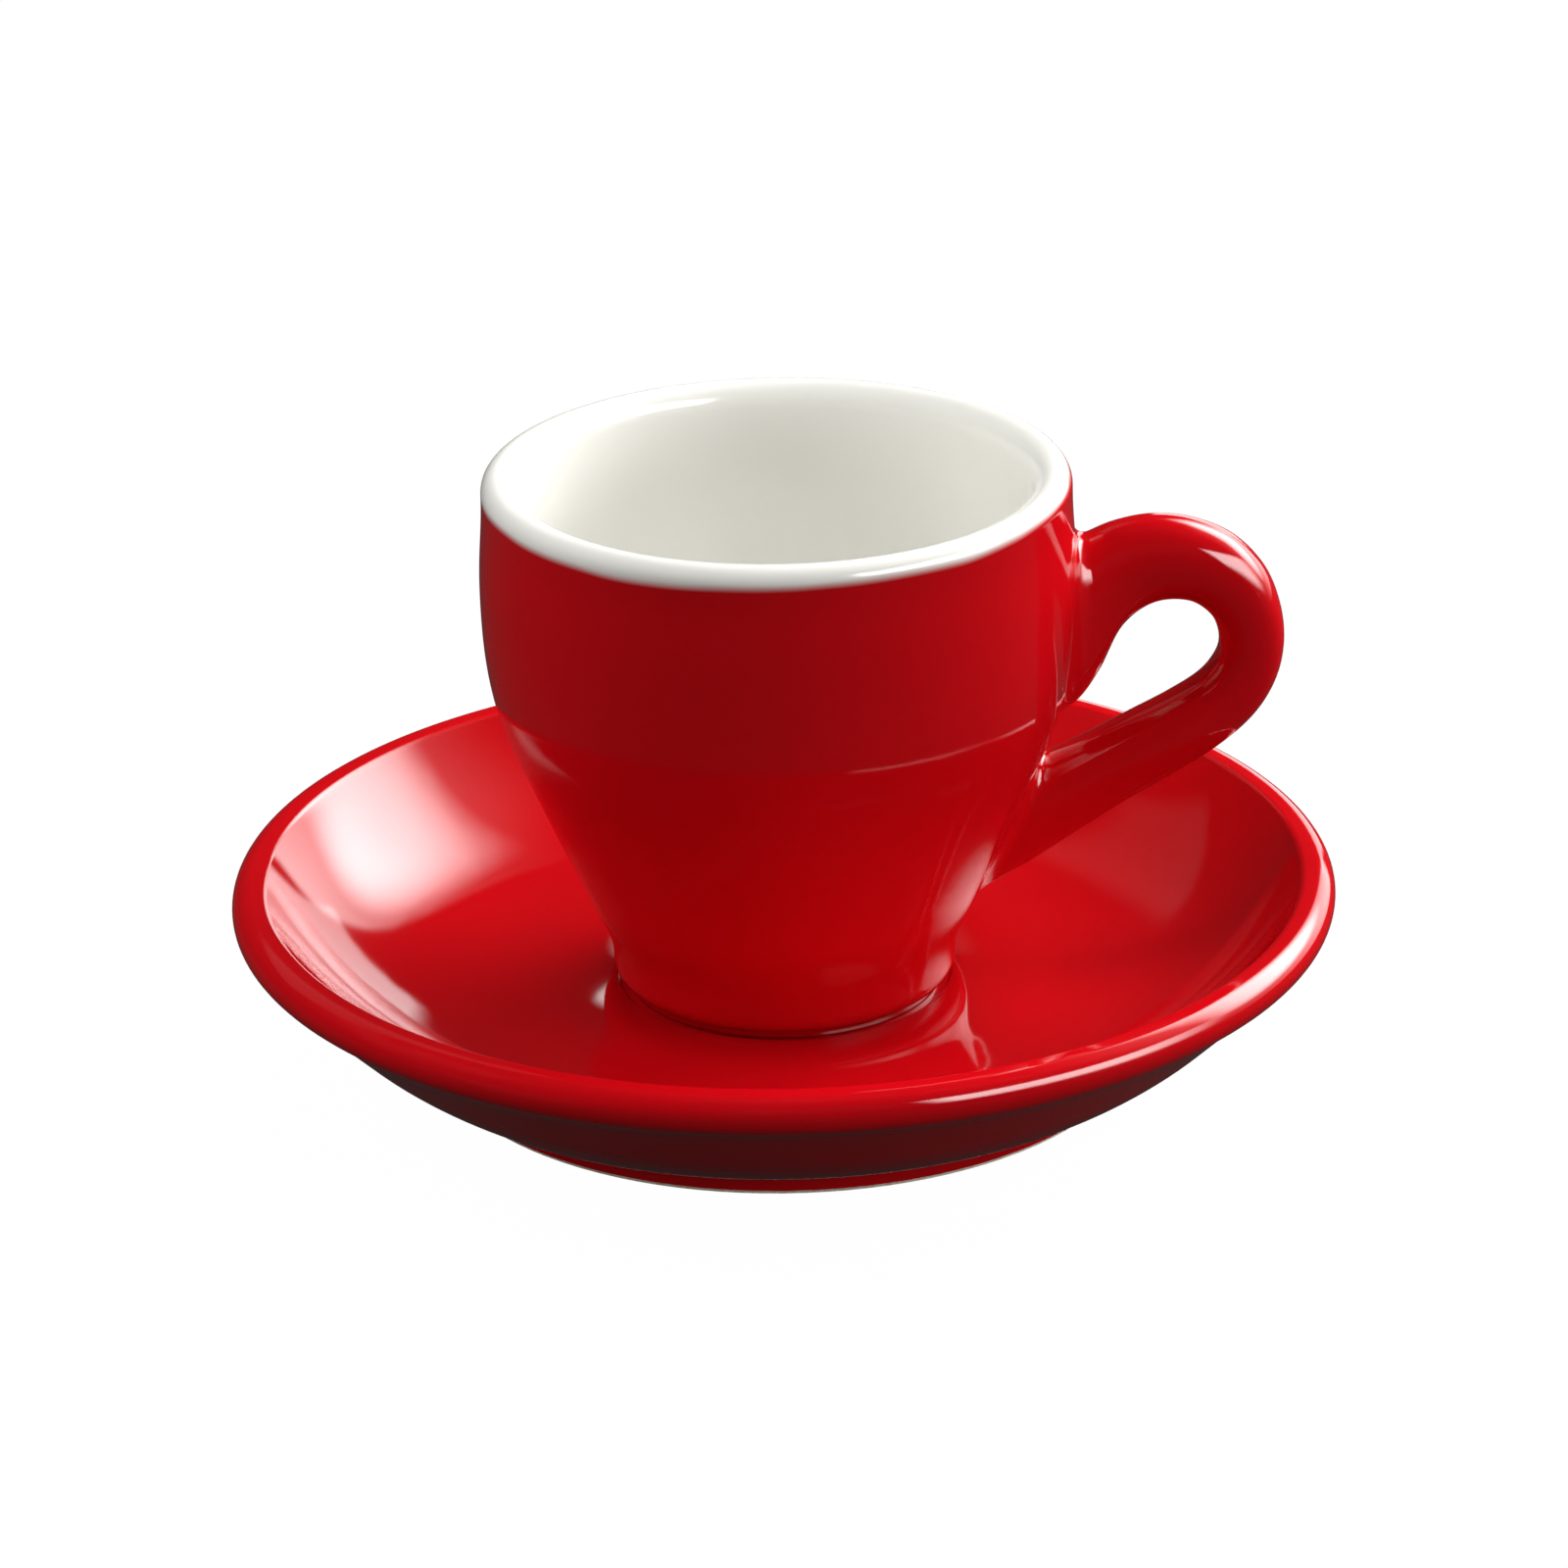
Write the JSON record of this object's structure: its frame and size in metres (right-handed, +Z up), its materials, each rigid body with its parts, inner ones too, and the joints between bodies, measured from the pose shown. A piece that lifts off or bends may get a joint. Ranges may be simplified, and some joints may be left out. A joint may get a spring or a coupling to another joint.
{
  "type": "espresso cup with saucer",
  "caption": "Small tapered stoneware cup with a looped ear handle, standing in the well of a deep saucer with a rounded rim.",
  "frame": {"origin": "on the table under the middle of the saucer", "axes": "+Z up along the axis of cup and saucer, +X towards the handle"},
  "size_m": [0.12, 0.12, 0.0664],
  "materials": {
    "stoneware": "matt fired clay, bare only at the foot rings",
    "red_glaze": "deep red glaze with a mirror gloss",
    "white_glaze": "warm white glaze with a mirror gloss"
  },
  "bodies": {
    "saucer": {"saucer_body": "stoneware", "saucer_red_glaze": "red_glaze"},
    "cup": {"cup_body": "stoneware", "cup_handle": "stoneware", "cup_white_glaze": "white_glaze", "cup_red_glaze": "red_glaze", "handle_red_glaze": "red_glaze"}
  },
  "joints": [
    {"name": "cup_lift", "type": "slide", "parent": "saucer", "child": "cup", "axis": [0, 0, 1], "range_m": [0, 0.06]}
  ]
}
